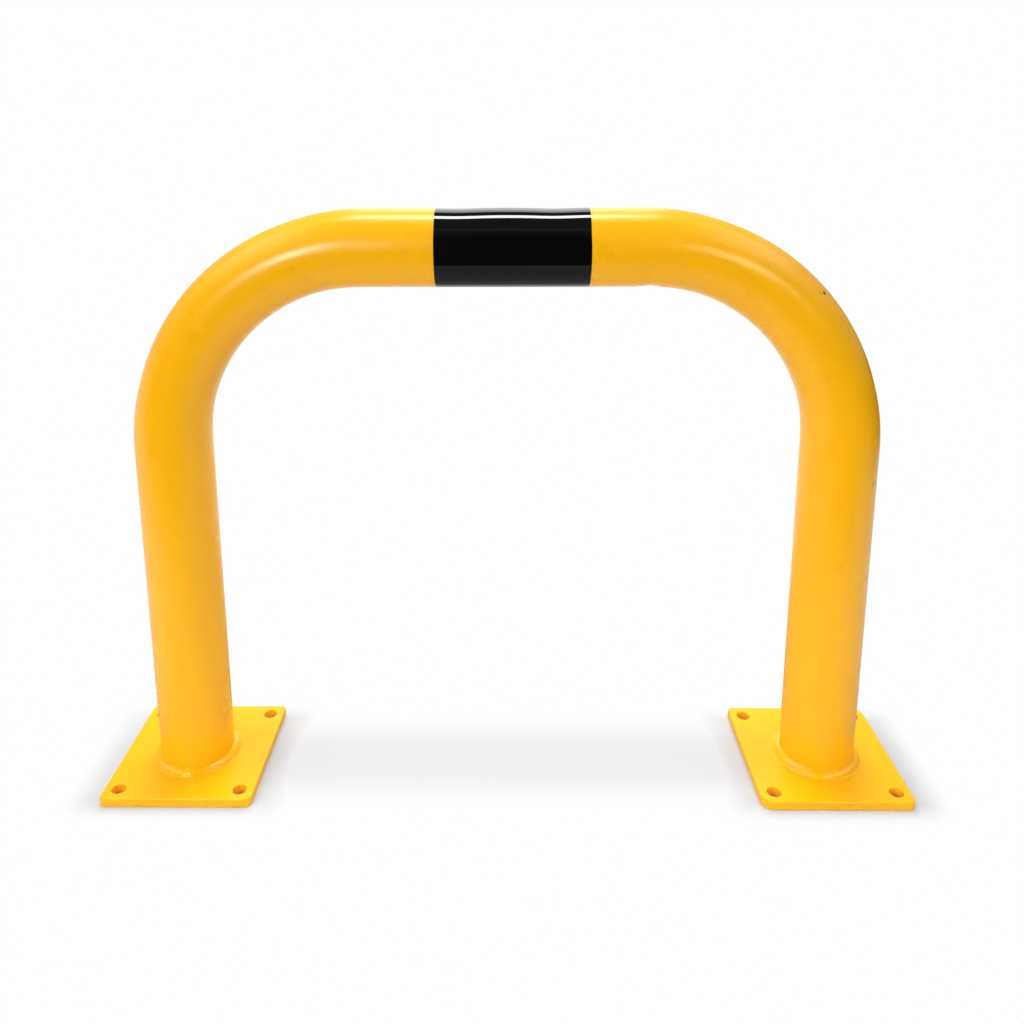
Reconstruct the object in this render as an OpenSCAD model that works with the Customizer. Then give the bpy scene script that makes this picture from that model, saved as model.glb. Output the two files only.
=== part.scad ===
// Hoop barrier: a bent steel tube welded to two floor plates, with a band of film round its top bar.
// Millimetres. The origin is on the floor, halfway between the legs. X runs along the hoop, Z is up.

/* [Hoop] */
// Width over the outsides of the two legs
overall_w = 750; // [660:10:1500]
// Height from the floor to the top of the bar
overall_h = 600; // [300:10:1200]
// Radius of each bend, on the centreline of the tube
bend_r = 200; // [110:5:230]

/* [Tube] */
// Outside diameter of the tube
tube_d = 76.1; // [48.3:0.1:101.6]
// Wall of the tube
tube_wall = 3; // [2:0.5:5]

/* [Base plates] */
// Side of each square plate
plate_side = 155; // [140:5:250]
// Thickness of each plate
plate_t = 10; // [6:1:20]
// Radius of the plate's four corners
corner_r = 8; // [3:1:15]
// Softened edge round the top and bottom faces
edge_r = 1; // [0.4:0.2:2]

/* [Anchor holes] */
// Diameter of each hole
hole_d = 14; // [9:1:18]
// Distance from the centre of a hole to the plate's two nearest edges
hole_margin = 15; // [14:1:22]
// Width of the countersink that breaks the edge of each hole
hole_break = 0.6; // [0.2:0.1:1]

/* [Weld] */
// Leg of the fillet along the plate
weld_plate_leg = 7; // [3:0.5:9]
// Leg of the fillet up the tube
weld_tube_leg = 6; // [3:0.5:9]
// How far the face of the fillet bulges out of a straight line between its toes
weld_crown = 0.9; // [0.3:0.1:1.2]

/* [Band] */
// Width of the film along the bar
band_w = 150; // [50:5:180]
// Distance of the band's middle from the bar's middle, to the right
band_offset = 7; // [-20:1:20]
// Thickness of the film
film_t = 0.3; // [0.2:0.1:0.6]
// Length of the lap where the end of the film goes over its start
lap_length = 12; // [5:1:30]

/* [Hidden] */
$fn = 96;

STRAIGHT = "straight";
BEND = "bend";
LEFT = -1;
RIGHT = 1;
quarter_turn = 90;
// The cutters run past the faces that they cut by this much
overrun = 1;
// Where the lap lies round the bar, as an angle from straight down towards the back
lap_turn = 45;

tube_r = tube_d / 2;
bore_r = tube_r - tube_wall;
leg_x = overall_w / 2 - tube_r;
bar_z = overall_h - tube_r;
leg_length = bar_z - bend_r - plate_t;
bar_length = 2 * (leg_x - bend_r);
plate_flat = plate_side - 2 * corner_r;
hole_x = plate_side / 2 - hole_margin;

// The tube as it goes through the bender, from the left foot to the right one
bender_steps = [
    [STRAIGHT, leg_length],
    [BEND, quarter_turn],
    [STRAIGHT, bar_length],
    [BEND, quarter_turn],
    [STRAIGHT, leg_length]
];

// Cross-section of the tube wall
module tube_section() {
    difference() {
        circle(tube_r);
        circle(bore_r);
    }
}

// Draws one step of the bender along +Z, and puts what comes after it at the step's far end.
// A bend turns +Z towards +X about an axis that stands bend_r to the right of the tube.
module bender_step(step) {
    if (step[0] == STRAIGHT) {
        linear_extrude(step[1]) tube_section();
        translate([0, 0, step[1]]) children();
    } else {
        translate([bend_r, 0, 0]) rotate([quarter_turn, 0, 0]) mirror([1, 0, 0])
            rotate_extrude(angle = step[1]) translate([bend_r, 0]) tube_section();
        translate([bend_r, 0, 0]) rotate([0, step[1], 0]) translate([-bend_r, 0, 0]) children();
    }
}

// Works through the bender's steps from number i on, each from the end of the one before
module bent_tube(steps, i = 0) {
    if (i < len(steps)) bender_step(steps[i]) bent_tube(steps, i + 1);
}

// Half of the section through a plate from its centre out to its edge, with both edges softened
module edge_section(reach) {
    square([reach - edge_r, plate_t]);
    translate([0, edge_r]) square([reach, plate_t - 2 * edge_r]);
    for (y = [edge_r, plate_t - edge_r]) translate([reach - edge_r, y]) circle(edge_r);
}

// The part of an edge section that lies on the +X side of the centre
module right_edge_section(reach) {
    intersection() {
        edge_section(reach);
        square([reach, plate_t]);
    }
}

// Flat plate with round corners and soft edges, put together as a middle, four strips and four corners
module soft_plate() {
    linear_extrude(plate_t) square(plate_flat, center = true);
    for (turn = [0 : quarter_turn : 270]) rotate(turn) {
        translate([plate_flat / 2, plate_flat / 2, 0]) {
            rotate([quarter_turn, 0, 0]) linear_extrude(plate_flat) right_edge_section(corner_r);
            rotate_extrude(angle = quarter_turn) right_edge_section(corner_r);
        }
    }
}

// Cutter for one anchor hole, with its edge broken at both faces
module anchor_hole() {
    translate([0, 0, -overrun]) cylinder(h = plate_t + 2 * overrun, d = hole_d);
    for (face = [0, 1]) translate([0, 0, face * plate_t]) mirror([0, 0, face])
        translate([0, 0, -overrun])
            cylinder(h = hole_break + overrun, r1 = hole_d / 2 + hole_break + overrun, r2 = hole_d / 2);
}

module base_plate(side) {
    color("#f9ae1b") translate([side * leg_x, 0, 0]) difference() {
        soft_plate();
        for (x = [-hole_x, hole_x], y = [-hole_x, hole_x]) translate([x, y, 0]) anchor_hole();
    }
}

// Section of the fillet: the corner between plate and tube, out to an arc through the two toes.
// The arc's centre lies inside the corner, on the line that crosses the chord at its middle.
module fillet_section() {
    chord = norm([weld_plate_leg, weld_tube_leg]);
    arc_r = (chord * chord / 4 + weld_crown * weld_crown) / (2 * weld_crown);
    inward = (arc_r - weld_crown) / chord;
    centre = [
        weld_plate_leg / 2 - weld_tube_leg * inward,
        weld_tube_leg / 2 - weld_plate_leg * inward
    ];
    intersection() {
        square([weld_plate_leg, weld_tube_leg]);
        translate(centre) circle(arc_r);
    }
}

module weld_bead(side) {
    color("#fcb316") translate([side * leg_x, 0, plate_t])
        rotate_extrude() translate([tube_r, 0]) fillet_section();
}

module hoop_tube() {
    color("#fdb419") translate([-leg_x, 0, plate_t]) bent_tube(bender_steps);
}

// Section of the film: once round the bar, and its end laid over its start.
// The lap is the part of a larger circle that lies between two rays from the centre.
module film_section() {
    lap_r = tube_r + 2 * film_t;
    lap_half = lap_length / lap_r / 2 * 180 / PI;
    reach = lap_r / cos(lap_half) + overrun;
    difference() {
        union() {
            circle(tube_r + film_t);
            intersection() {
                circle(lap_r);
                polygon([
                    [0, 0],
                    reach * [cos(lap_turn - lap_half), sin(lap_turn - lap_half)],
                    reach * [cos(lap_turn + lap_half), sin(lap_turn + lap_half)]
                ]);
            }
        }
        circle(tube_r);
    }
}

module black_band() {
    color("#0c0c0d") translate([band_offset - band_w / 2, 0, bar_z]) rotate([0, quarter_turn, 0])
        linear_extrude(band_w) film_section();
}

hoop_tube();
base_plate(LEFT);  // base_plate_left
base_plate(RIGHT);  // base_plate_right
weld_bead(LEFT);  // weld_bead_left
weld_bead(RIGHT);  // weld_bead_right
black_band();
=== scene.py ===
"""Looks of the hoop barrier: a powder-coated steel hoop on two plates, with a band of black film.

Lengths are in metres. Angles are in degrees where a class holds them and in radians elsewhere, unless the
docstring says otherwise.
"""

import logging
import math
from dataclasses import dataclass
from enum import Enum

import bmesh
import bpy
from mathutils import Matrix, Vector, noise


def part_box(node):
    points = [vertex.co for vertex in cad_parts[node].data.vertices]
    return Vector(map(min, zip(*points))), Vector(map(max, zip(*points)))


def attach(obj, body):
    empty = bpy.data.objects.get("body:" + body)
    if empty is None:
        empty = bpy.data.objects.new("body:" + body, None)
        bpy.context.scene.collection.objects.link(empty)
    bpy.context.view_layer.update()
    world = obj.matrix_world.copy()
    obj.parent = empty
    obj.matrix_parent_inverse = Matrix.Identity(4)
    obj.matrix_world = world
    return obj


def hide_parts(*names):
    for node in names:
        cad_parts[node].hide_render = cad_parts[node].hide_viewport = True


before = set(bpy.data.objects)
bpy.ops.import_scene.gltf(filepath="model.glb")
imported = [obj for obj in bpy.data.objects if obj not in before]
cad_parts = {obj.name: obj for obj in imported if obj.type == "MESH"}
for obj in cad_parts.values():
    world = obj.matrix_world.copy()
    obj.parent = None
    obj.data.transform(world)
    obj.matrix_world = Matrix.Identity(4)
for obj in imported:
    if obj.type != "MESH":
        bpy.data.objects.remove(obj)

MM = 0.001
FULL_TURN = 2 * math.pi
# A quarter turn, in degrees
QUARTER = 90
# Edges that turn by more than this, in degrees, are drawn sharp
SHARP = 35
UP = Vector((0, 0, 1))
FRONT = Vector((0, -1, 0))
WHITE = (1.0, 1.0, 1.0, 1.0)
# The colour that a noise texture swings about
NOISE_MIDDLE = (0.5, 0.5, 0.5)
# Watts for each square metre that give a lamp's face the brightness of a white floor
FACE_WATTS = 4
# The film on the bar ends this much short of its nominal width at each edge
FILM_SHORT = 1.2 * MM
# Roughness of the coat on the welds, where it is glossiest and where it is dullest
WELD_ROUGHNESS = 0.13
WELD_DULL_ROUGHNESS = 0.18

log = logging.getLogger("hoop_barrier")


class Side(Enum):
    """The two ends of the hoop, as the sign of their X."""

    LEFT = -1
    RIGHT = 1

    @property
    def word(self) -> str:
        """The side as it stands in the names of pieces."""
        return self.name.lower()


class Steel(Enum):
    """What lies under the coat and shows through it as a faint unevenness."""

    DRAWN_TUBE = "drawn_tube"
    ROLLED_PLATE = "rolled_plate"
    WELD_METAL = "weld_metal"


# Radii of the hand-ground corners of each plate, anticlockwise from its front left one
PLATE_CORNERS = {
    Side.LEFT: (5 * MM, 8 * MM, 4 * MM, 5 * MM),
    Side.RIGHT: (13 * MM, 6 * MM, 13 * MM, 5 * MM),
}


def linear(hex_colour: str) -> tuple[float, float, float, float]:
    """Turns an sRGB hex colour into linear light, with the numbers of the sRGB standard.

    Args:
        hex_colour: The colour, such as "#FBB112".

    Returns:
        Red, green, blue and an alpha of 1.
    """
    parts = [int(hex_colour[i:i + 2], 16) / 255 for i in (1, 3, 5)]
    red, green, blue = (c / 12.92 if c <= 0.04045 else ((c + 0.055) / 1.055) ** 2.4 for c in parts)
    return red, green, blue, 1.0


def smooth(value: float) -> float:
    """Eases from 0 to 1 along the cubic that starts and ends level.

    Args:
        value: Below 0 counts as 0, and above 1 as 1.

    Returns:
        The eased value.
    """
    value = min(max(value, 0.0), 1.0)
    return value * value * (3 - 2 * value)


def noise_share(spot: Vector) -> float:
    """Takes smooth noise between 0 and 1.

    Args:
        spot: The place, as a multiple of the noise's size.

    Returns:
        The noise.
    """
    return 0.5 + 0.5 * noise.noise(spot)


def add_node(tree: bpy.types.NodeTree, kind: str, inputs: dict | None = None,
             **settings: object) -> bpy.types.Node:
    """Adds a node with its settings and links.

    Args:
        tree: The node tree that gets the node.
        kind: The node's type name.
        inputs: For each input, by name or number, its value or the output socket that feeds it.
        **settings: The node's own properties.

    Returns:
        The new node.
    """
    node = tree.nodes.new(kind)
    for name, value in settings.items():
        setattr(node, name, value)
    for name, value in (inputs or {}).items():
        if isinstance(value, bpy.types.NodeSocket):
            tree.links.new(value, node.inputs[name])
        else:
            node.inputs[name].default_value = value
    return node


def new_material(name: str) -> tuple[bpy.types.Material, bpy.types.NodeTree]:
    """Makes a material with no nodes yet.

    Args:
        name: The material's name.

    Returns:
        The material and its node tree.
    """
    material = bpy.data.materials.new(name)
    material.use_nodes = True
    material.node_tree.nodes.clear()
    return material, material.node_tree


def finish_mesh(name: str, shape: bmesh.types.BMesh, sharp_degrees: float = SHARP) -> bpy.types.Object:
    """Turns a bmesh into a smooth-shaded object whose real corners stay sharp.

    Args:
        name: The object's name.
        shape: The bmesh, which is freed.
        sharp_degrees: Edges that turn by more than this are drawn sharp.

    Returns:
        The new object, linked to the scene.
    """
    bmesh.ops.recalc_face_normals(shape, faces=shape.faces)
    for face in shape.faces:
        face.smooth = True
    mesh = bpy.data.meshes.new(name)
    shape.to_mesh(mesh)
    shape.free()
    mesh.set_sharp_from_angle(angle=math.radians(sharp_degrees))
    piece = bpy.data.objects.new(name, mesh)
    bpy.context.scene.collection.objects.link(piece)
    return piece


def bridge(shape: bmesh.types.BMesh, rows: list[list[bmesh.types.BMVert]]) -> None:
    """Joins each closed row of vertices to the next one with a band of faces.

    Args:
        shape: The bmesh that holds them.
        rows: The rows, all with the same number of vertices.
    """
    for row, following in zip(rows, rows[1:]):
        for corners in zip(row, row[1:] + row[:1], following[1:] + following[:1], following):
            shape.faces.new(corners)


def skin(name: str, rings: list[list[Vector]], sharp_degrees: float = SHARP) -> bpy.types.Object:
    """Joins closed rings of points into one closed surface, the last ring to the first.

    Args:
        name: The object's name.
        rings: The rings, all with the same number of points.
        sharp_degrees: Edges that turn by more than this are drawn sharp.

    Returns:
        The new object.
    """
    shape = bmesh.new()
    rows = [[shape.verts.new(point) for point in ring] for ring in rings]
    bridge(shape, rows + rows[:1])
    return finish_mesh(name, shape, sharp_degrees)


def fit_out(piece: bpy.types.Object, material: bpy.types.Material, node: str) -> None:
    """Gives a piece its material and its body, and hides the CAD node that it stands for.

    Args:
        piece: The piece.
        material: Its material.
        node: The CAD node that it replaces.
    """
    piece.data.materials.append(material)
    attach(piece, "root")
    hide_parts(node)
    low, high = (Vector(corner) for corner in (piece.bound_box[0], piece.bound_box[6]))
    log.info("%s: %d faces, %s mm", piece.name, len(piece.data.polygons),
             " x ".join(f"{side / MM:.1f}" for side in high - low))


@dataclass(frozen=True)
class Chip:
    """A spot where the coat is broken or holds dirt, on the tube.

    Attributes:
        along: Distance along the tube from its left foot, in metres.
        turn: Degrees round the tube from its outer side towards the front.
        size: Its width, in metres.
        depth: How much of the coat is gone, from 0 to 1.
    """

    along: float
    turn: float
    size: float
    depth: float


@dataclass(frozen=True)
class Dent:
    """A soft hollow in the tube.

    Attributes:
        along: Distance along the tube from its left foot, in metres.
        turn: Degrees round the tube from its outer side towards the front.
        depth: Its depth, in metres.
        length: Half its length along the tube, in metres.
        spread: Half its width round the tube, in degrees.
    """

    along: float
    turn: float
    depth: float
    length: float
    spread: float

    def depth_at(self, along: float, turn: float) -> float:
        """Works out how deep the hollow is at one place.

        Args:
            along: Distance along the tube from its left foot, in metres.
            turn: Turn round the tube, in radians.

        Returns:
            The depth, in metres.
        """
        across = (turn - math.radians(self.turn) + math.pi) % FULL_TURN - math.pi
        far = ((along - self.along) / self.length) ** 2 + (across / math.radians(self.spread)) ** 2
        return self.depth * math.exp(-far)


@dataclass(frozen=True)
class PowderCoat:
    """Polyester powder coat, sprayed dry on steel and baked to a gloss.

    It gives the eye a deep warm yellow under a clear soft-edged shine. The melt leaves a fine orange peel,
    and the steel below shows through as slow unevenness. Dark steel and dirt show only in the chips.

    Attributes:
        name: The material's name.
        steel: What it lies on.
        colour: Its colour where it is thick.
        thin_colour: Its colour where it is thin.
        chip_colour: What shows in the chips.
        ior: Index of refraction.
        roughness: Its roughness where it is glossiest.
        dull_roughness: Its roughness where it is dullest.
        dull_start: Level of the patches' noise at which it starts to dull.
        dull_end: Level at which it is dullest.
        patch_size: Size of the thick and thin patches.
        peel_size: Size of the orange peel.
        peel_depth: Depth of the orange peel.
        chips: For each chip, its centre, its size and how much of the coat is gone.
        chip_core: Radius of a chip's bare middle, as a share of its size.
        chip_rim: Radius at which the coat is whole again, as a share of its size.
        chip_ragged: Size of the steps along its edge.
        chip_depth: How deep it goes.
        chip_roughness: How much rougher it is than the coat.
    """

    name: str
    steel: Steel
    colour: str = "#FCB90A"
    thin_colour: str = "#FAB406"
    chip_colour: str = "#2A211A"
    ior: float = 1.5
    roughness: float = 0.26
    dull_roughness: float = 0.32
    dull_start: float = 0.3
    dull_end: float = 0.7
    patch_size: float = 45 * MM
    peel_size: float = 3.2 * MM
    peel_depth: float = 0.007 * MM
    chips: tuple[tuple[Vector, float, float], ...] = ()
    chip_core: float = 0.32
    chip_rim: float = 0.5
    chip_ragged: float = 1.1 * MM
    chip_depth: float = 0.08 * MM
    chip_roughness: float = 0.4

    @property
    def uneven(self) -> tuple[float, float]:
        """The unevenness of the steel below.

        Returns:
            Its size and its depth.
        """
        return {
            Steel.DRAWN_TUBE: (38 * MM, 0.03 * MM),
            Steel.ROLLED_PLATE: (14 * MM, 0.035 * MM),
            Steel.WELD_METAL: (4 * MM, 0.06 * MM),
        }[self.steel]

    def broken(self, tree: bpy.types.NodeTree, place: bpy.types.NodeSocket) -> bpy.types.NodeSocket:
        """Adds the mask of the chips, whose edges are ragged.

        Args:
            tree: The material's node tree.
            place: The point on the piece, in metres.

        Returns:
            A socket that is 1 inside a chip and 0 outside.
        """
        ragged = add_node(tree, "ShaderNodeTexNoise",
                          {"Vector": place, "Scale": 1 / self.chip_ragged, "Detail": 2.0})
        shift = add_node(tree, "ShaderNodeVectorMath", {0: ragged.outputs["Color"], 1: NOISE_MIDDLE},
                         operation="SUBTRACT")
        mask = None
        for centre, size, depth in self.chips:
            spread = (size, size, size)
            bent = add_node(tree, "ShaderNodeVectorMath", {0: shift.outputs[0], 1: spread, 2: place},
                            operation="MULTIPLY_ADD")
            far = add_node(tree, "ShaderNodeVectorMath", {0: bent.outputs[0], 1: centre},
                           operation="DISTANCE")
            spot = add_node(tree, "ShaderNodeMapRange",
                            {"Value": far.outputs["Value"], "From Min": size * self.chip_rim,
                             "From Max": size * self.chip_core, "To Max": depth},
                            interpolation_type="SMOOTHSTEP")
            if mask is None:
                mask = spot.outputs[0]
            else:
                both = add_node(tree, "ShaderNodeMath", {0: mask, 1: spot.outputs[0]}, operation="MAXIMUM")
                mask = both.outputs[0]
        return mask

    def material(self) -> bpy.types.Material:
        """Builds the coat.

        Returns:
            The material.
        """
        material, tree = new_material(self.name)
        place = add_node(tree, "ShaderNodeTexCoord").outputs["Object"]
        patches = add_node(tree, "ShaderNodeTexNoise",
                           {"Vector": place, "Scale": 1 / self.patch_size, "Detail": 3.0})
        colour = add_node(tree, "ShaderNodeMix",
                          {"Factor": patches.outputs["Fac"], "A": linear(self.colour),
                           "B": linear(self.thin_colour)}, data_type="RGBA")
        colour_out = colour.outputs["Result"]
        gloss = add_node(tree, "ShaderNodeMapRange",
                         {"Value": patches.outputs["Fac"], "From Min": self.dull_start,
                          "From Max": self.dull_end, "To Min": self.roughness, "To Max": self.dull_roughness})
        gloss_out = gloss.outputs[0]
        peel = add_node(tree, "ShaderNodeTexNoise",
                        {"Vector": place, "Scale": 1 / self.peel_size, "Detail": 1.0})
        size, depth = self.uneven
        slow = add_node(tree, "ShaderNodeTexNoise", {"Vector": place, "Scale": 1 / size, "Detail": 2.0})
        steel = add_node(tree, "ShaderNodeBump",
                         {"Height": slow.outputs["Fac"], "Strength": 1.0, "Distance": depth})
        bump = add_node(tree, "ShaderNodeBump",
                        {"Height": peel.outputs["Fac"], "Strength": 1.0, "Distance": self.peel_depth,
                         "Normal": steel.outputs[0]})
        if self.chips:
            mask = self.broken(tree, place)
            colour_out = add_node(tree, "ShaderNodeMix",
                                  {"Factor": mask, "A": colour_out, "B": linear(self.chip_colour)},
                                  data_type="RGBA").outputs["Result"]
            gloss_out = add_node(tree, "ShaderNodeMath", {0: mask, 1: self.chip_roughness, 2: gloss_out},
                                 operation="MULTIPLY_ADD").outputs[0]
            bump = add_node(tree, "ShaderNodeBump",
                            {"Height": mask, "Strength": 1.0, "Distance": -self.chip_depth,
                             "Normal": bump.outputs[0]})
        coat = add_node(tree, "ShaderNodeBsdfPrincipled",
                        {"Base Color": colour_out, "Roughness": gloss_out, "IOR": self.ior,
                         "Normal": bump.outputs[0]})
        add_node(tree, "ShaderNodeOutputMaterial", {"Surface": coat.outputs[0]})
        return material


@dataclass(frozen=True)
class VinylFilm:
    """Soft calendered vinyl film, stretched on by hand.

    It gives the eye a near-black mirror with long slow waves and a few pimples where dust is caught under it.
    The waves are drawn out along the bar, the way that the film was pulled.

    Attributes:
        name: The material's name.
        colour: Its colour.
        ior: Index of refraction.
        roughness: Its roughness.
        wave_size: Size of the waves round the bar.
        wave_depth: Depth of the waves.
        wave_scale: How dense they are along X, Y and Z, where 1 is their own size.
        pimple_pitch: Distance between the pimples.
        pimple_size: Radius of a pimple.
        pimple_depth: Height of a pimple.
    """

    name: str = "gloss_vinyl_film"
    colour: str = "#070708"
    ior: float = 1.53
    roughness: float = 0.035
    wave_size: float = 26 * MM
    wave_depth: float = 0.05 * MM
    wave_scale: tuple[float, float, float] = (0.45, 1.0, 1.0)
    pimple_pitch: float = 34 * MM
    pimple_size: float = 0.9 * MM
    pimple_depth: float = 0.05 * MM

    def material(self) -> bpy.types.Material:
        """Builds the film.

        Returns:
            The material.
        """
        material, tree = new_material(self.name)
        place = add_node(tree, "ShaderNodeTexCoord").outputs["Object"]
        stretched = add_node(tree, "ShaderNodeMapping", {"Vector": place, "Scale": self.wave_scale})
        waves = add_node(tree, "ShaderNodeTexNoise",
                         {"Vector": stretched.outputs[0], "Scale": 1 / self.wave_size, "Detail": 1.0})
        cells = add_node(tree, "ShaderNodeTexVoronoi", {"Vector": place, "Scale": 1 / self.pimple_pitch})
        pimples = add_node(tree, "ShaderNodeMapRange",
                           {"Value": cells.outputs["Distance"],
                            "From Min": self.pimple_size / self.pimple_pitch, "From Max": 0.0},
                           interpolation_type="SMOOTHSTEP")
        slow = add_node(tree, "ShaderNodeBump",
                        {"Height": waves.outputs["Fac"], "Strength": 1.0, "Distance": self.wave_depth})
        bump = add_node(tree, "ShaderNodeBump",
                        {"Height": pimples.outputs[0], "Strength": 1.0, "Distance": self.pimple_depth,
                         "Normal": slow.outputs[0]})
        film = add_node(tree, "ShaderNodeBsdfPrincipled",
                        {"Base Color": linear(self.colour), "Roughness": self.roughness, "IOR": self.ior,
                         "Normal": bump.outputs[0]})
        add_node(tree, "ShaderNodeOutputMaterial", {"Surface": film.outputs[0]})
        return material


@dataclass
class HoopTube:
    """The bent tube, measured along its centreline from the left foot.

    Bending leaves it a little flat across the plane of the hoop, and handling leaves soft dents.

    Attributes:
        radius: Its outside radius.
        leg_x: Distance of the legs' centrelines from the middle.
        foot_z: Height at which it starts, on the plates.
        bar_z: Height of the top bar's centreline.
        wall: Its wall.
        bend_radius: Radius of the bends' centreline.
        flattening: Share of the radius that a bend takes away in the plane of the hoop.
        bulge_share: Share of that which comes back as a bulge to the front and the back.
        flatten_ramp: Length over which a bend grows flat.
        sides: Number of points round the tube.
        bend_step: Distance between the rings in a bend.
        straight_step: Distance between the rings on the straights.
        dents: The dents.
    """

    radius: float
    leg_x: float
    foot_z: float
    bar_z: float
    wall: float = 3 * MM
    bend_radius: float = 200 * MM
    flattening: float = 0.035
    bulge_share: float = 0.4
    flatten_ramp: float = 70 * MM
    sides: int = 128
    bend_step: float = 4 * MM
    straight_step: float = 9 * MM
    dents: tuple[Dent, ...] = ()

    @property
    def leg(self) -> float:
        """Length of one straight leg."""
        return self.bar_z - self.bend_radius - self.foot_z

    @property
    def arc(self) -> float:
        """Length of one bend."""
        return self.bend_radius * math.pi / 2

    @property
    def half(self) -> float:
        """Half the length of the tube."""
        return self.leg + self.arc + self.leg_x - self.bend_radius

    def place(self, along: float) -> tuple[Vector, Vector]:
        """Finds a point of the centreline.

        Args:
            along: Distance along the tube from its left foot.

        Returns:
            The point, and the direction from it to the outer side of the hoop.
        """
        side = -1 if along < self.half else 1
        up_leg = along if side < 0 else 2 * self.half - along
        if up_leg < self.leg:
            return Vector((side * self.leg_x, 0, self.foot_z + up_leg)), Vector((side, 0, 0))
        if up_leg > self.leg + self.arc:
            return Vector((side * (self.half - up_leg), 0, self.bar_z)), UP.copy()
        angle = (up_leg - self.leg) / self.bend_radius
        outward = Vector((side * math.cos(angle), 0, math.sin(angle)))
        centre = Vector((side * (self.leg_x - self.bend_radius), 0, self.bar_z - self.bend_radius))
        return centre + self.bend_radius * outward, outward

    def squeeze(self, along: float) -> float:
        """Share of the radius that the bend takes away in the plane of the hoop.

        Args:
            along: Distance along the tube from its left foot.

        Returns:
            The share, which is 0 on the straights.
        """
        into = min(along, 2 * self.half - along) - self.leg
        start = smooth(into / self.flatten_ramp)
        end = smooth((self.arc - into) / self.flatten_ramp)
        return self.flattening * start * end

    def surface(self, along: float, turn: float, offset: float = 0.0) -> Vector:
        """Finds a point on the tube's skin.

        Args:
            along: Distance along the tube from its left foot.
            turn: Turn round the tube from its outer side towards the front, in radians.
            offset: Height over the skin, or below it where negative.

        Returns:
            The point.
        """
        centre, outward = self.place(along)
        flat = self.squeeze(along)
        radius = self.radius + offset - sum(dent.depth_at(along, turn) for dent in self.dents)
        out = outward * (radius * (1 - flat) * math.cos(turn))
        return centre + out + FRONT * (radius * (1 + flat * self.bulge_share) * math.sin(turn))

    def stations(self) -> list[float]:
        """Places of the rings along the tube, closer together in the bends.

        Returns:
            Their distances along the tube from its left foot.
        """
        spans = [(self.leg, self.straight_step), (self.arc, self.bend_step),
                 (2 * (self.leg_x - self.bend_radius), self.straight_step),
                 (self.arc, self.bend_step), (self.leg, self.straight_step)]
        found = [0.0]
        for length, step in spans:
            count = math.ceil(length / step)
            start = found[-1]
            found += [start + length * (i + 1) / count for i in range(count)]
        return found

    def build(self, material: bpy.types.Material) -> bpy.types.Object:
        """Sweeps the tube wall round the hoop.

        Args:
            material: The finish.

        Returns:
            The piece.
        """
        turns = [FULL_TURN * i / self.sides for i in range(self.sides)]
        stations = self.stations()
        outer = [[self.surface(along, turn) for turn in turns] for along in stations]
        inner = [[self.surface(along, turn, -self.wall) for turn in turns] for along in reversed(stations)]
        piece = skin("tube_skin", outer + inner)
        fit_out(piece, material, "hoop_tube")
        return piece


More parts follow.
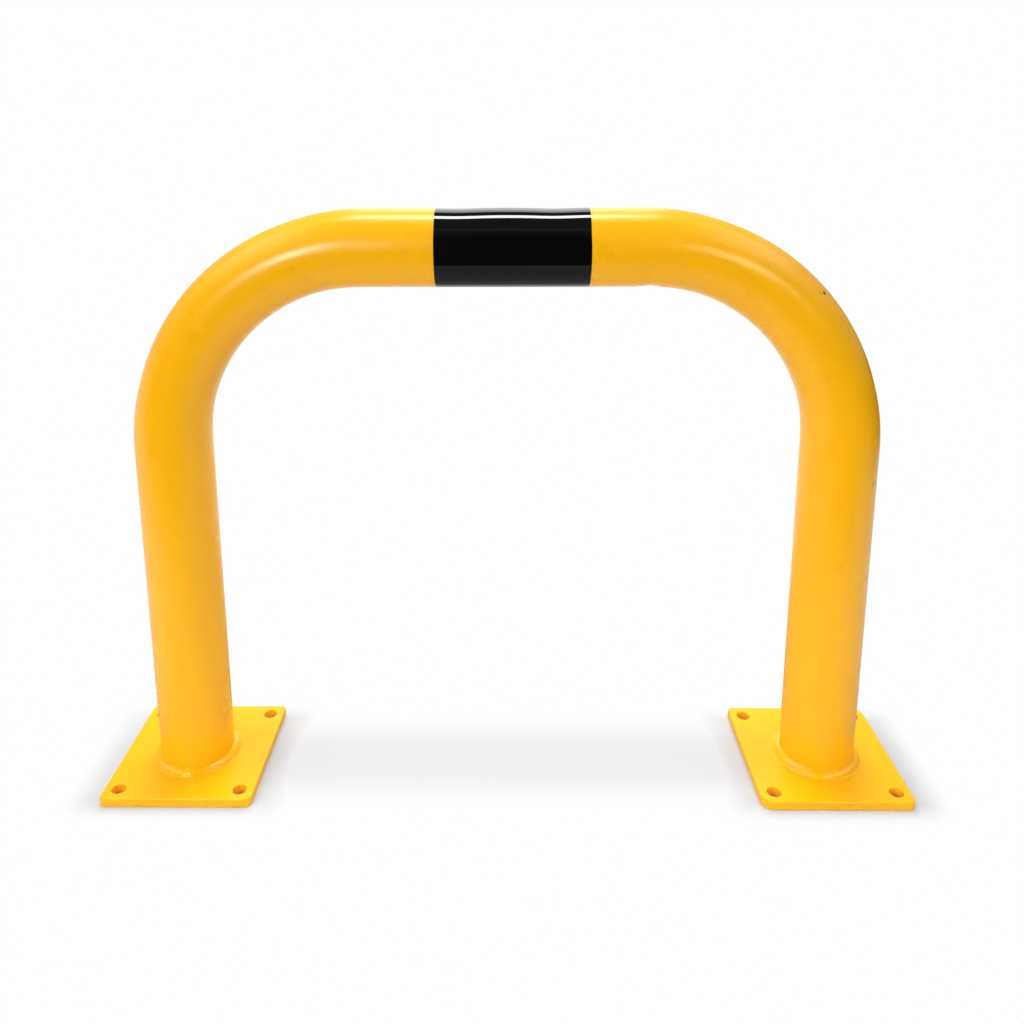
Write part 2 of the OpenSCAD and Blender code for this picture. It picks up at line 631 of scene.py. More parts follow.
@dataclass
class FilmBand:
    """One strip of film round the bar, with its end lapped over its start on the far underside.

    Attributes:
        tube: The tube that it lies on.
        low_x: Where it ends on the left.
        high_x: Where it ends on the right.
        thickness: Its thickness.
        lap_turn: Where the lap's middle lies round the tube, from the top over the front.
        lap_length: Length of the lap.
        lap_rise: Length over which the end climbs on the start.
        lap_lip: Thickness of the wall at the end of the lap.
        lap_clear: How many times that no other point comes near the lap's ends.
        sides: Number of even points round the tube.
        ring_step: Distance between the rings.
        edge_wander: How far the two edges wander.
        edge_power: How fast the wander dies away from the edges inwards.
        edge_change: How unlike the wander of the two edges is.
        lift: How far the film stands off the tube at most.
        lift_size: Size of the places where it does.
        glue: Height of its glued face over the tube.
    """

    tube: HoopTube
    low_x: float
    high_x: float
    thickness: float = 0.3 * MM
    lap_turn: float = 225.0
    lap_length: float = 12 * MM
    lap_rise: float = 1.5 * MM
    lap_lip: float = 0.06 * MM
    lap_clear: float = 4.0
    sides: int = 144
    ring_step: float = 2 * MM
    edge_wander: float = 0.25 * MM
    edge_power: int = 6
    edge_change: float = 9.0
    lift: float = 0.06 * MM
    lift_size: float = 30 * MM
    glue: float = 0.02 * MM

    def turns(self) -> list[float]:
        """Turns of the ring's points, with two close together at the end of the lap.

        Returns:
            The turns, in radians.
        """
        middle, half = math.radians(self.lap_turn), self.lap_length / self.tube.radius / 2
        lip = self.lap_lip / self.tube.radius
        gap = self.lap_clear * lip
        even = [FULL_TURN * i / self.sides for i in range(self.sides)]
        clear = [turn for turn in even if min(abs(turn - middle - half), abs(turn - middle + half)) > gap]
        return sorted(clear + [middle - half, middle + half, middle + half + lip])

    def height(self, along: float, turn: float) -> float:
        """Height of the film's face over the tube.

        Args:
            along: Distance along the tube from its left foot.
            turn: Turn round the tube, in radians.

        Returns:
            The height, in metres.
        """
        from_middle = turn - math.radians(self.lap_turn)
        half = self.lap_length / self.tube.radius / 2
        rise = smooth((from_middle + half) / (self.lap_rise / self.tube.radius))
        lap = rise if from_middle <= half else 0.0
        spot = self.tube.surface(along, turn) / self.lift_size
        return self.thickness * (1 + lap) + self.lift * noise_share(spot)

    def ring(self, x: float, share: float, flat: bool) -> list[Vector]:
        """One ring of the film.

        Args:
            x: Where the ring is along the bar.
            share: 0 at the left edge and 1 at the right one, so that both edges can wander.
            flat: True for the glued face.

        Returns:
            The ring's points.
        """
        points = []
        drift = 2 * abs(share - 0.5)
        for turn in self.turns():
            spot = Vector((math.cos(turn), math.sin(turn), self.edge_change * share))
            along = self.tube.half + x + self.edge_wander * drift ** self.edge_power * noise.noise(spot)
            height = self.glue if flat else self.height(along, turn)
            points.append(self.tube.surface(along, turn, height))
        return points

    def build(self, material: bpy.types.Material) -> bpy.types.Object:
        """Wraps the film round the bar.

        Args:
            material: The finish.

        Returns:
            The piece.
        """
        count = round((self.high_x - self.low_x) / self.ring_step)
        spots = [(self.low_x + (self.high_x - self.low_x) * i / count, i / count) for i in range(count + 1)]
        rings = [self.ring(x, share, False) for x, share in spots]
        rings += [self.ring(x, share, True) for x, share in reversed(spots)]
        piece = skin("film_band", rings)
        fit_out(piece, material, "black_band")
        return piece


@dataclass
class WeldBead:
    """A fillet weld round the foot of one leg.

    Its face is a roll that stands up from the plate and leaves a narrow ledge under the tube. The coat fills
    both toes with a small hollow. The hand that laid it leaves low ripples, toes that wander and two
    restarts.

    Attributes:
        side: The leg.
        centre: Middle of the leg's foot, on the plate.
        tube_radius: Outside radius of the leg.
        face_radius: Radius of the roll.
        low_tilt: Tilt over the plate at which the roll starts.
        high_tilt: Tilt at which it ends, under the tube.
        plate_hollow: Radius of the hollow at the plate.
        tube_hollow: Radius of the hollow at the tube.
        toe_wander: How much the roll's radius wanders.
        wander_size: Size of the wander along the bead.
        ripple_pitch: Distance between two ripples.
        ripple_depth: Height of the ripples.
        ripple_bow: How far a ripple's middle runs ahead of its ends, in radians of its phase.
        ripple_wander: How much the ripples' distance wanders, in radians of their phase.
        ripple_size: Size of that wander along the bead.
        restarts: Turns round the leg at which the weld was taken up again.
        restart_lump: Height of the lump there.
        restart_length: Its half-length along the bead.
        sink: How deep the bead's back lies in the tube and the plate.
        rings: Number of sections round the leg.
        hollow_steps: Number of steps in each hollow.
        face_steps: Number of steps in the face.
        sharp: Edges that turn by more than this are drawn sharp.
    """

    side: Side
    centre: Vector
    tube_radius: float
    face_radius: float = 7.8 * MM
    low_tilt: float = 24.0
    high_tilt: float = 80.0
    plate_hollow: float = 1.6 * MM
    tube_hollow: float = 0.7 * MM
    toe_wander: float = 1.5 * MM
    wander_size: float = 30 * MM
    ripple_pitch: float = 2.9 * MM
    ripple_depth: float = 0.07 * MM
    ripple_bow: float = 1.3
    ripple_wander: float = 2.5
    ripple_size: float = 9 * MM
    restarts: tuple[float, ...] = (38.0, 205.0)
    restart_lump: float = 0.45 * MM
    restart_length: float = 4.5 * MM
    sink: float = 0.05 * MM
    rings: int = 360
    hollow_steps: int = 5
    face_steps: int = 14
    sharp: float = 50

    def section(self, angle: float) -> list[Vector]:
        """The bead's section at one angle round the leg.

        Args:
            angle: Angle round the leg, in radians.

        Returns:
            The section's points, from the plate over the face to the tube and back inside.
        """
        out = Vector((math.cos(angle), math.sin(angle), 0))
        spot = self.centre + out * self.tube_radius
        face = self.face_radius + self.toe_wander * noise.noise(spot / self.wander_size)
        for restart in self.restarts:
            off = ((angle - math.radians(restart) + math.pi) % FULL_TURN - math.pi) * self.tube_radius
            face += self.restart_lump * math.exp(-(off / self.restart_length) ** 2)
        phase = angle * self.tube_radius / self.ripple_pitch * FULL_TURN
        phase += self.ripple_wander * noise.noise(spot / self.ripple_size)
        arcs = [(self.plate_hollow, QUARTER, self.low_tilt, self.hollow_steps),
                (face, self.low_tilt, self.high_tilt, self.face_steps),
                (self.tube_hollow, self.high_tilt, 0, self.hollow_steps)]
        start, points = Vector((0, 0)), [Vector((0, 0))]
        for radius, first, last, steps in arcs:
            for i in range(1, steps + 1):
                tilt = math.radians(first + (last - first) * i / steps)
                run = abs(math.cos(tilt) - math.cos(math.radians(first)))
                rise = abs(math.sin(tilt) - math.sin(math.radians(first)))
                bow = math.sin(math.pi * i / steps) if last > first else 0.0
                ripple = self.ripple_depth * bow * math.sin(phase + self.ripple_bow * bow)
                points.append(start + Vector((-run, rise)) * radius
                              + Vector((math.cos(tilt), math.sin(tilt))) * ripple)
            start = points[-1].copy()
        reach = -points[-1].x
        points.append(Vector((-reach, 0)))
        return [self.centre + out * (self.tube_radius - self.sink + reach + p.x) + UP * (p.y - self.sink)
                for p in points]

    def build(self, material: bpy.types.Material) -> bpy.types.Object:
        """Runs the bead round the leg.

        Args:
            material: The finish.

        Returns:
            The piece.
        """
        rings = [self.section(FULL_TURN * i / self.rings) for i in range(self.rings)]
        piece = skin(f"weld_{self.side.word}", rings, self.sharp)
        fit_out(piece, material, f"weld_bead_{self.side.word}")
        return piece


@dataclass
class BasePlate:
    """A cut steel plate with four hand-ground corners, softened edges and four drilled holes.

    Attributes:
        side: The leg that stands on it.
        low: The lowest corner of its box.
        high: The highest corner of its box.
        corner_radii: Radii of its corners, anticlockwise from the front left one.
        hole_radius: Radius of the holes.
        hole_inset: Distance of their centres from the two nearest edges.
        edge_radius: Radius of the plate's softened edges.
        rim_radius: Radius of the holes' softened edges.
        hold: Width of the narrow ring beside a softened edge, which keeps the face next to it flat.
        wander: How far the ground edges waver inwards.
        wander_size: Size of the waver along them.
        edge_step: Distance between the points of a straight edge.
        corner_points: Number of steps round a corner.
        edge_points: Number of steps over a softened edge.
        hole_points: Number of points round a hole.
    """

    side: Side
    low: Vector
    high: Vector
    corner_radii: tuple[float, float, float, float]
    hole_radius: float = 7 * MM
    hole_inset: float = 15 * MM
    edge_radius: float = 1.1 * MM
    rim_radius: float = 1.0 * MM
    hold: float = 0.3 * MM
    wander: float = 0.18 * MM
    wander_size: float = 28 * MM
    edge_step: float = 6 * MM
    corner_points: int = 10
    edge_points: int = 5
    hole_points: int = 48

    def outline(self, inset: float) -> list[Vector]:
        """The plate's outline, drawn in by a distance.

        Args:
            inset: How far the outline is drawn in.

        Returns:
            Points anticlockwise from the front left corner, seen from above.
        """
        corners = [(-1, -1, 2 * QUARTER), (1, -1, 3 * QUARTER), (1, 1, 0), (-1, 1, QUARTER)]
        middle = (self.low + self.high) / 2
        half = (self.high - self.low) / 2
        points = []
        for (x_sign, y_sign, start), radius in zip(corners, self.corner_radii):
            pivot = middle + Vector((x_sign * (half.x - radius), y_sign * (half.y - radius), 0))
            turns = [start + QUARTER * i / self.corner_points for i in range(self.corner_points + 1)]
            arc = [math.radians(turn) for turn in turns]
            corner = [pivot + Vector((math.cos(a), math.sin(a), 0)) * (radius - inset) for a in arc]
            if points:
                points += self.between(points[-1], corner[0])
            points += corner
        points += self.between(points[-1], points[0])
        return [self.waver(point, middle) for point in points]

    def between(self, start: Vector, end: Vector) -> list[Vector]:
        """Evenly spaced points on the straight stretch from start to end, without those two."""
        count = round((self.high.x - self.low.x) / self.edge_step)
        return [start.lerp(end, (i + 1) / count) for i in range(count - 1)]

    def waver(self, point: Vector, middle: Vector) -> Vector:
        """Moves a point of the outline a little inwards, as a ground edge wavers.

        Args:
            point: The point.
            middle: The middle of the plate.

        Returns:
            The moved point.
        """
        inward = (middle - point).normalized()
        spot = Vector((point.x, point.y, 0)) / self.wander_size
        return point + inward * self.wander * noise_share(spot)

    def hole(self, centre: Vector, grow: float) -> list[Vector]:
        """A ring of points round a hole.

        Args:
            centre: The hole's centre.
            grow: How much wider than the drilled hole.

        Returns:
            The ring's points.
        """
        turns = [FULL_TURN * i / self.hole_points for i in range(self.hole_points)]
        radius = self.hole_radius + grow
        return [centre + Vector((math.cos(turn), math.sin(turn), 0)) * radius for turn in turns]

    def levels(self, radius: float) -> list[tuple[float, float]]:
        """Steps of a wall from the bottom face to the top face, with both edges rounded.

        Args:
            radius: Radius of the rounded edges.

        Returns:
            For each step, how far it is drawn back from the wall, and its height.
        """
        bottom = [(radius + self.hold, self.low.z)]
        for i in range(self.edge_points + 1):
            angle = math.pi / 2 * i / self.edge_points
            bottom.append((radius * (1 - math.sin(angle)), self.low.z + radius * (1 - math.cos(angle))))
        top = [(back, self.high.z + self.low.z - height) for back, height in reversed(bottom)]
        return bottom + top

    def build(self, material: bpy.types.Material) -> bpy.types.Object:
        """Builds the walls of the outline and the holes, and fills both faces between them.

        Args:
            material: The finish.

        Returns:
            The piece.
        """
        shape = bmesh.new()
        middle = (self.low + self.high) / 2
        reach = (self.high - self.low).x / 2 - self.hole_inset
        walls = [[(self.outline(back), height) for back, height in self.levels(self.edge_radius)]]
        rim = self.levels(self.rim_radius)
        for x_sign in (-1, 1):
            for y_sign in (-1, 1):
                centre = middle + Vector((x_sign * reach, y_sign * reach, 0))
                walls.append([(self.hole(centre, back), height) for back, height in rim])
        faces = {"bottom": [], "top": []}
        for wall in walls:
            rows = [[shape.verts.new((p.x, p.y, height)) for p in ring] for ring, height in wall]
            bridge(shape, rows)
            for key, row in (("bottom", rows[0]), ("top", rows[-1])):
                faces[key] += [shape.edges.get((a, b)) for a, b in zip(row, row[1:] + row[:1])]
        for edges in faces.values():
            bmesh.ops.triangle_fill(shape, use_beauty=True, use_dissolve=False, edges=edges)
        piece = finish_mesh(f"plate_{self.side.word}", shape)
        fit_out(piece, material, f"base_plate_{self.side.word}")
        return piece


@dataclass(frozen=True)
class SoftBox:
    """A studio lamp with an even rectangular face.

    A lamp that gloss doesn't show is sampled only directly. Otherwise rays that leave a glossy surface would
    find it by chance, and it would show there after all.

    Attributes:
        name: The lamp's name.
        place: Where it hangs.
        aim: The point that it faces.
        width: Width of its face.
        height: Height of its face.
        brightness: Brightness of its face, where a white floor reads 1.
        in_gloss: True if it shows in glossy surfaces.
        lights: True if it lights matt surfaces.
    """

    name: str
    place: Vector
    aim: Vector
    width: float
    height: float
    brightness: float
    in_gloss: bool = True
    lights: bool = True

    def build(self) -> bpy.types.Object:
        """Hangs the lamp.

        Returns:
            The lamp.
        """
        lamp = bpy.data.lights.new(self.name, "AREA")
        lamp.shape = "RECTANGLE"
        lamp.size = self.width
        lamp.size_y = self.height
        lamp.energy = FACE_WATTS * self.brightness * self.width * self.height
        box = bpy.data.objects.new(self.name, lamp)
        box.location = self.place
        box.rotation_euler = (self.aim - self.place).to_track_quat("-Z", "Y").to_euler()
        box.visible_camera = False
        box.visible_glossy = self.in_gloss
        box.visible_diffuse = self.lights
        lamp.cycles.use_multiple_importance_sampling = self.in_gloss
        bpy.context.scene.collection.objects.link(box)
        return box


@dataclass
class Studio:
    """A sweep of white paper with lamps above and behind, and a dark room in front.

    The room goes from one brightness to the next over bands. A band says where the change starts and ends,
    as the X, Y or Z of a direction, from -1 to 1.

    Attributes:
        reach: Half the width of the paper, which runs on past the camera's view.
        plate_spot: Middle of the right plate, round which the camera sees the full shadow.
        plate_half: Half that ground's length, which reaches past the plate's sides, and half its depth,
            which stays within the plate.
        plate_halo: Distance outside it over which the shadow fades to the white of the picture.
        bar_half: The same two sizes of the ground under the bar.
        bar_halo: The same distance for it.
        bar_white: Share of white that the camera sees there.
        seen_colour: The paper to the camera, which the lamps bring to white.
        bounce_colour: The paper where it throws light back at the barrier.
        past_edge: The studio's own floor past the paper's edges.
        edge_soft: Distance over which the paper goes over into it.
        fibre_size: Size of the paper's fibres, drawn coarser than real so that they can show.
        fibre_depth: Their depth.
        shade: Middle of the painted shade round the barrier in the paper's painted reflection, which gloss
            shows.
        shade_inner: Radius in which the paper shows at its darkest in gloss.
        shade_outer: Radius at which it has come up to its full brightness.
        shade_level: Brightness of the paper's painted glow in that painted shade.
        open_level: Brightness of its painted glow outside it.
        front_edge: Y at which the paper ends in front.
        side_edge: X at which it ends on the right.
        low_glow: Brightness of the room up to about 30 degrees, at the sides.
        low_front: The same in front.
        low_band: Y from that front to those sides.
        middle_glow: Brightness from about 30 to 60 degrees, at the sides.
        middle_front: The same in front.
        middle_band: Y from that front to those sides.
        middle_start: Z from the lower part to the middle one.
        behind_start: Y from both to what is behind.
        behind_low: Brightness of the lit panel behind, at the horizon.
        behind_high: The same at its top edge.
        behind_side: Brightness to both sides of the panel.
        behind_gap: Brightness of the gap between that edge and the strip lamp.
        panel_band: Z from the panel's horizon to its full brightness.
        panel_side: Distance in X from the panel to its sides.
        panel_top: Z from its top edge to the gap.
        top_glow: Brightness overhead.
        top_start: Z at which overhead starts.
        card: Half-width, Y and height of the black card by the camera, which only gloss shows.
        card_colour: Its colour, which gloss shows as a painted dark reflection.
        lamps: The lamps.
    """

    reach: float = 40.0
    plate_spot: Vector = Vector((0.337, 0, 0))
    plate_half: Vector = Vector((0.0875, 0.0655, 1))
    plate_halo: float = 0.032
    bar_half: Vector = Vector((0.35, 0.026, 1))
    bar_halo: float = 0.05
    bar_white: float = 0.42
    seen_colour: str = "#BDC0C4"
    bounce_colour: str = "#CFCFCF"
    past_edge: str = "#303030"
    edge_soft: float = 0.03
    fibre_size: float = 1.5 * MM
    fibre_depth: float = 0.01 * MM
    shade: Vector = Vector((0, -0.06, 0))
    shade_inner: float = 0.36
    shade_outer: float = 0.7
    shade_level: float = 0.29
    open_level: float = 0.88
    front_edge: float = -0.53
    side_edge: float = 1.3
    low_glow: float = 0.3
    low_front: float = 0.0
    low_band: tuple[float, float] = (-0.5, -0.1)
    middle_glow: float = 1.7
    middle_front: float = 0.07
    middle_band: tuple[float, float] = (-0.6, -0.3)
    middle_start: tuple[float, float] = (0.5, 0.6)
    behind_start: tuple[float, float] = (0.3, 0.5)
    behind_low: float = 1.2
    behind_high: float = 1.95
    behind_side: float = 0.3
    behind_gap: float = 0.05
    panel_band: tuple[float, float] = (0.2, 0.45)
    panel_side: tuple[float, float] = (0.17, 0.23)
    panel_top: tuple[float, float] = (0.7, 0.79)
    top_glow: float = 0.1
    top_start: tuple[float, float] = (0.8, 0.9)
    card: tuple[float, float, float] = (0.31, -0.56, 1.04)
    card_colour: str = "#1C1C1C"
    lamps: tuple[SoftBox, ...] = (
        SoftBox("overhead_strip", Vector((-0.05, 0.47, 2.2)), Vector((0, 0, 0.55)), 0.92, 0.34, 12,
                lights=False),
        SoftBox("overhead_bar", Vector((0, 0, 2.4)), Vector((0, 0, 0)), 2.4, 0.22, 7.2, in_gloss=False),
        SoftBox("rear_bank", Vector((0, 1.3, 2.4)), Vector((0, 0, 0.3)), 2.4, 1.3, 3.6, in_gloss=False),
        SoftBox("rear_low_bank", Vector((0, 1.8, 1.3)), Vector((0, 0, 0.3)), 2.4, 1.0, 2.6, in_gloss=False),
        SoftBox("front_left_strip", Vector((-0.75, -1.42, 1.0)), Vector((0.13, -0.26, 0.55)), 0.36, 0.27, 25,
                lights=False),
        SoftBox("front_right_strip", Vector((0.85, -1.35, 1.0)), Vector((-0.03, -0.19, 0.55)), 0.5, 0.2, 13.5,
                lights=False),
        SoftBox("front_bank", Vector((0, -2.4, 1.4)), Vector((0, 0, 0.3)), 1.8, 1.0, 2.0, in_gloss=False),
        SoftBox("low_front_box", Vector((0, -0.9, 0.25)), Vector((0, 0, 0.3)), 0.9, 0.4, 1.45,
                in_gloss=False),
        SoftBox("front_left_bank", Vector((-2.4, -3.3, 1.5)), Vector((0, 0, 0.3)), 3.0, 2.4, 2.4,
                in_gloss=False),
        SoftBox("front_right_bank", Vector((3.2, -4.4, 2.0)), Vector((0, 0, 0.3)), 4.0, 3.2, 0.35,
                in_gloss=False),
        SoftBox("high_left_bank", Vector((-1.8, -0.3, 2.0)), Vector((0, 0, 0.3)), 1.2, 1.2, 0.8,
                in_gloss=False),
    )

    def past(self, tree: bpy.types.NodeTree, place: bpy.types.NodeSocket, middle: Vector, half: Vector,
             halo: float, inside: float) -> bpy.types.NodeSocket:
        """Adds a soft step from a value inside a rectangle on the floor to 1 some way outside it.

        Args:
            tree: The node tree.
            place: The point on the floor, in metres.
            middle: The rectangle's middle.
            half: Half its length and half its depth.
            halo: Width of the step outside it.
            inside: The value inside it.

        Returns:
            The step's value.
        """
        from_middle = add_node(tree, "ShaderNodeVectorMath", {0: place, 1: middle}, operation="SUBTRACT")
        to_side = add_node(tree, "ShaderNodeVectorMath", {0: from_middle.outputs[0]}, operation="ABSOLUTE")
        over = add_node(tree, "ShaderNodeVectorMath", {0: to_side.outputs[0], 1: half}, operation="SUBTRACT")
        outside = add_node(tree, "ShaderNodeVectorMath", {0: over.outputs[0]}, operation="MAXIMUM")
        away = add_node(tree, "ShaderNodeVectorMath", {0: outside.outputs[0]}, operation="LENGTH")
        soft = add_node(tree, "ShaderNodeMapRange",
                        {"Value": away.outputs["Value"], "From Max": halo, "To Min": inside, "To Max": 1.0},
                        interpolation_type="SMOOTHSTEP")
        return soft.outputs[0]

    def build_world(self) -> None:
        """Sets the white that the camera sees, and the room that lights and shows in gloss."""
        world = bpy.data.worlds.new("studio_room")
        world.use_nodes = True
        bpy.context.scene.world = world
        tree = world.node_tree
        tree.nodes.clear()
        way = add_node(tree, "ShaderNodeTexCoord").outputs["Generated"]
        split = add_node(tree, "ShaderNodeSeparateXYZ", {"Vector": way}).outputs
        off_axis = add_node(tree, "ShaderNodeMath", {0: split["X"]}, operation="ABSOLUTE").outputs[0]
        # Each soft step has a name, what it goes by, its band, and the brightness before and after it. That
        # is a number or the name of an earlier step.
        steps = (
            ("low", split["Y"], self.low_band, self.low_front, self.low_glow),
            ("middle", split["Y"], self.middle_band, self.middle_front, self.middle_glow),
            ("around", split["Z"], self.middle_start, "low", "middle"),
            ("panel", split["Z"], self.panel_band, self.behind_low, self.behind_high),
            ("wall", off_axis, self.panel_side, "panel", self.behind_side),
            ("behind", split["Z"], self.panel_top, "wall", self.behind_gap),
            ("lower", split["Y"], self.behind_start, "around", "behind"),
            ("room", split["Z"], self.top_start, "lower", self.top_glow),
        )
        glows = {}
        for name, value, (start, end), before, after in steps:
            soft = add_node(tree, "ShaderNodeMapRange",
                            {"Value": value, "From Min": start, "From Max": end,
                             "To Min": glows.get(before, before), "To Max": glows.get(after, after)},
                            interpolation_type="SMOOTHSTEP")
            glows[name] = soft.outputs[0]
        ray = add_node(tree, "ShaderNodeLightPath").outputs
        strength = add_node(tree, "ShaderNodeMapRange",
                            {"Value": ray["Is Camera Ray"], "To Min": glows["room"], "To Max": 1.0})
        glow = add_node(tree, "ShaderNodeBackground", {"Color": WHITE, "Strength": strength.outputs[0]})
        add_node(tree, "ShaderNodeOutputWorld", {"Surface": glow.outputs[0]})

    def paper(self) -> bpy.types.Material:
        """Matt white background paper.

        The camera sees the even white of a finished product picture, with the shadow kept. Gloss sees a glow
        instead of the lit paper, a painted reflection with painted shade round the barrier and dark past the
        edge where the paper ends.

        Returns:
            The material.
        """
        material, tree = new_material("matt_background_paper")
        material.cycles.emission_sampling = "NONE"
        place = add_node(tree, "ShaderNodeTexCoord").outputs["Object"]
        split = add_node(tree, "ShaderNodeSeparateXYZ", {"Vector": place}).outputs
        ray = add_node(tree, "ShaderNodeLightPath").outputs
        fibres = add_node(tree, "ShaderNodeTexNoise",
                          {"Vector": place, "Scale": 1 / self.fibre_size, "Detail": 2.0})
        grain = add_node(tree, "ShaderNodeBump",
                         {"Height": fibres.outputs["Fac"], "Distance": self.fibre_depth})
        front = add_node(tree, "ShaderNodeMapRange",
                         {"Value": split["Y"], "From Min": self.front_edge - self.edge_soft,
                          "From Max": self.front_edge})
        right = add_node(tree, "ShaderNodeMapRange",
                         {"Value": split["X"], "From Min": self.side_edge + self.edge_soft,
                          "From Max": self.side_edge, "To Max": front.outputs[0]})
        bounce = add_node(tree, "ShaderNodeMix",
                          {"Factor": right.outputs[0], "A": linear(self.past_edge),
                           "B": linear(self.bounce_colour)}, data_type="RGBA")
        colour = add_node(tree, "ShaderNodeMix",
                          {"Factor": ray["Is Camera Ray"], "A": bounce.outputs["Result"],
                           "B": linear(self.seen_colour)}, data_type="RGBA")
        lit = add_node(tree, "ShaderNodeBsdfDiffuse",
                       {"Color": colour.outputs["Result"], "Normal": grain.outputs[0]})
        mirrored = add_node(tree, "ShaderNodeVectorMath", {0: place}, operation="ABSOLUTE")
        spot = mirrored.outputs[0]
        off_plates = self.past(tree, spot, self.plate_spot, self.plate_half, self.plate_halo, 0.0)
        off_bar = self.past(tree, spot, Vector(), self.bar_half, self.bar_halo, self.bar_white)
        far = add_node(tree, "ShaderNodeMath", {0: off_plates, 1: off_bar}, operation="MINIMUM")
        seen_far = add_node(tree, "ShaderNodeMath", {0: far.outputs[0], 1: ray["Is Camera Ray"]},
                            operation="MULTIPLY")
        white = add_node(tree, "ShaderNodeEmission", {"Color": WHITE, "Strength": 1.0})
        seen = add_node(tree, "ShaderNodeMixShader",
                        {0: seen_far.outputs[0], 1: lit.outputs[0], 2: white.outputs[0]})
        # Glossy rays see the paper as a painted glow, a painted reflection, with painted shade round the
        # barrier
        from_shade = add_node(tree, "ShaderNodeVectorMath", {0: place, 1: self.shade},
                              operation="DISTANCE")
        shade = add_node(tree, "ShaderNodeMapRange",
                         {"Value": from_shade.outputs["Value"], "From Min": self.shade_inner,
                          "From Max": self.shade_outer, "To Min": self.shade_level,
                          "To Max": self.open_level}, interpolation_type="SMOOTHSTEP")
        strength = add_node(tree, "ShaderNodeMath", {0: shade.outputs[0], 1: right.outputs[0]},
                            operation="MULTIPLY")
        glow = add_node(tree, "ShaderNodeEmission", {"Color": WHITE, "Strength": strength.outputs[0]})
        surface = add_node(tree, "ShaderNodeMixShader",
                           {0: ray["Is Glossy Ray"], 1: seen.outputs[0], 2: glow.outputs[0]})
        add_node(tree, "ShaderNodeOutputMaterial", {"Surface": surface.outputs[0]})
        return material

    def build_floor(self) -> bpy.types.Object:
        """Lays the paper.

        Returns:
            The floor.
        """
        shape = bmesh.new()
        corners = [(-1, -1), (1, -1), (1, 1), (-1, 1)]
        shape.faces.new([shape.verts.new((x * self.reach, y * self.reach, 0)) for x, y in corners])
        floor = finish_mesh("studio_floor", shape)
        floor.data.materials.append(self.paper())
        return floor

    def build_card(self) -> bpy.types.Object:
        """Stands a black card by the camera, which only gloss shows, as a painted dark reflection.

        Returns:
            The card.
        """
        # A dark sheet that only glossy rays see: a painted dark reflection of the room in front
        material, tree = new_material("painted_dark_reflection_card")
        dark_sheet = add_node(tree, "ShaderNodeBsdfDiffuse", {"Color": linear(self.card_colour)})
        add_node(tree, "ShaderNodeOutputMaterial", {"Surface": dark_sheet.outputs[0]})
        half_width, distance, height = self.card
        shape = bmesh.new()
        corners = [(-half_width, 0), (half_width, 0), (half_width, height), (-half_width, height)]
        shape.faces.new([shape.verts.new((x, distance, z)) for x, z in corners])
        card = finish_mesh("black_card", shape)
        card.data.materials.append(material)
        card.visible_camera = False
        card.visible_diffuse = False
        card.visible_shadow = False
        return card

    def build(self) -> None:
        """Builds the room, the floor, the card and the lamps."""
        self.build_world()
        self.build_floor()
        self.build_card()
        for lamp in self.lamps:
            lamp.build()
        log.info("studio: %d lamps", len(self.lamps))


@dataclass(frozen=True)
class PhotoCamera:
    """The camera, near where the photograph's outlines put it, but with a smaller shift of the lens.

    Attributes:
        place: Where it stands.
        down: How far it looks down, in radians.
        yaw: How far it looks to the right, in radians.
        roll: How far it is turned clockwise about its view, in radians.
        lens: Its focal length, in millimetres, for a sensor 36 mm wide.
        shift_x: How far the view is moved to the right, as a share of its width.
        shift_y: How far it is moved up, as the same share.
        near: Distance at which its view starts.
    """

    place: Vector = Vector((0.00331, -0.87990, 0.66899))
    down: float = 0.208725
    yaw: float = -0.01114
    roll: float = -0.003179
    lens: float = 32.05
    shift_x: float = 0.01295
    shift_y: float = -0.18
    near: float = 0.05

    def build(self) -> bpy.types.Object:
        """Places the camera and makes it the scene's own.

        Returns:
            The camera.
        """
        ahead = Vector((math.sin(self.yaw) * math.cos(self.down), math.cos(self.yaw) * math.cos(self.down),
                        -math.sin(self.down)))
        right = ahead.cross(UP).normalized()
        above = right.cross(ahead)
        tilt = Matrix.Rotation(self.roll, 3, -ahead)
        right, above = tilt @ right, tilt @ above
        lens = bpy.data.cameras.new("photo_camera")
        lens.lens = self.lens
        lens.shift_x = self.shift_x
        lens.shift_y = self.shift_y
        lens.clip_start = self.near
        camera = bpy.data.objects.new("photo_camera", lens)
        turn = Matrix((right, above, -ahead)).transposed().to_4x4()
        camera.matrix_world = Matrix.Translation(self.place) @ turn
        bpy.context.scene.collection.objects.link(camera)
        bpy.context.scene.camera = camera
        return camera


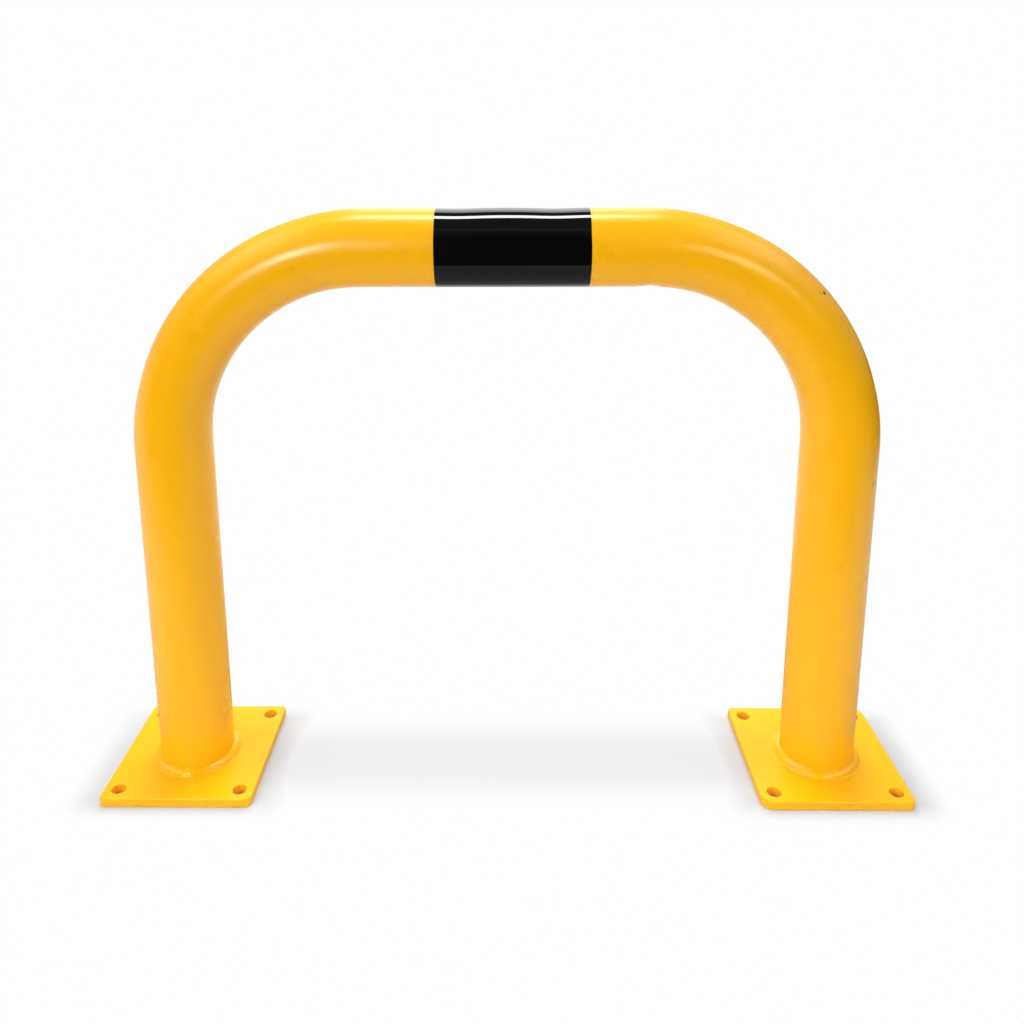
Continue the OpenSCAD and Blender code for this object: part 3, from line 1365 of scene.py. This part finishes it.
def hoop_from_frame() -> HoopTube:
    """Takes the hoop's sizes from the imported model, and adds the dents that the photograph shows.

    Two lie in the top of the bar under the film. A crease lies under the bar where the right bend starts,
    and a nick lies further round that bend.

    Returns:
        The hoop.
    """
    low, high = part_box("hoop_tube")
    radius = (high.y - low.y) / 2
    hoop = HoopTube(radius=radius, leg_x=high.x - radius, foot_z=low.z, bar_z=high.z - radius)
    middle = hoop.half
    hoop.dents = (
        Dent(middle - 47 * MM, 0, 0.8 * MM, 26 * MM, 42),
        Dent(middle + 47 * MM, 0, 0.8 * MM, 26 * MM, 42),
        Dent(middle + 142 * MM, 180, 1.4 * MM, 9 * MM, 50),
        Dent(middle + 321 * MM, 169, 0.5 * MM, 3 * MM, 7),
    )
    return hoop


def tube_chips(hoop: HoopTube) -> tuple[tuple[Vector, float, float], ...]:
    """Places the chips and specks of dirt that the photograph shows.

    Args:
        hoop: The tube that carries them.

    Returns:
        For each, its centre, its size and its depth.
    """
    chips = (
        Chip(1.102, 35, 4.5 * MM, 1.0),
        Chip(1.098, 44, 2.4 * MM, 0.8),
        Chip(0.992, 85, 1.6 * MM, 0.45),
        Chip(1.016, 80, 1.4 * MM, 0.45),
        Chip(0.715, 134, 2.0 * MM, 0.3),
        Chip(0.258, 150, 1.2 * MM, 0.6),
        Chip(0.254, 145, 1.0 * MM, 0.45),
        Chip(1.124, 169, 2.4 * MM, 0.35),
    )
    return tuple((hoop.surface(chip.along, math.radians(chip.turn)), chip.size, chip.depth) for chip in chips)


def main() -> None:
    """Builds the barrier, its room and its camera."""
    logging.basicConfig(level=logging.INFO, format="%(name)s: %(message)s")
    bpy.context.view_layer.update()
    bpy.context.scene.view_settings.view_transform = "Standard"
    PhotoCamera().build()
    Studio().build()
    hoop = hoop_from_frame()
    hoop.build(PowderCoat("powder_coat_on_tube", Steel.DRAWN_TUBE, chips=tube_chips(hoop)).material())
    on_plate = PowderCoat("powder_coat_on_plate", Steel.ROLLED_PLATE).material()
    on_weld = PowderCoat("powder_coat_on_weld", Steel.WELD_METAL, roughness=WELD_ROUGHNESS,
                         dull_roughness=WELD_DULL_ROUGHNESS).material()
    for side in Side:
        low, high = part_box(f"base_plate_{side.word}")
        BasePlate(side, low, high, PLATE_CORNERS[side]).build(on_plate)
        foot = Vector((side.value * hoop.leg_x, 0, hoop.foot_z))
        WeldBead(side, foot, hoop.radius).build(on_weld)
    band_low, band_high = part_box("black_band")
    FilmBand(hoop, band_low.x + FILM_SHORT, band_high.x - FILM_SHORT).build(VinylFilm().material())


if __name__ == "__main__":
    main()
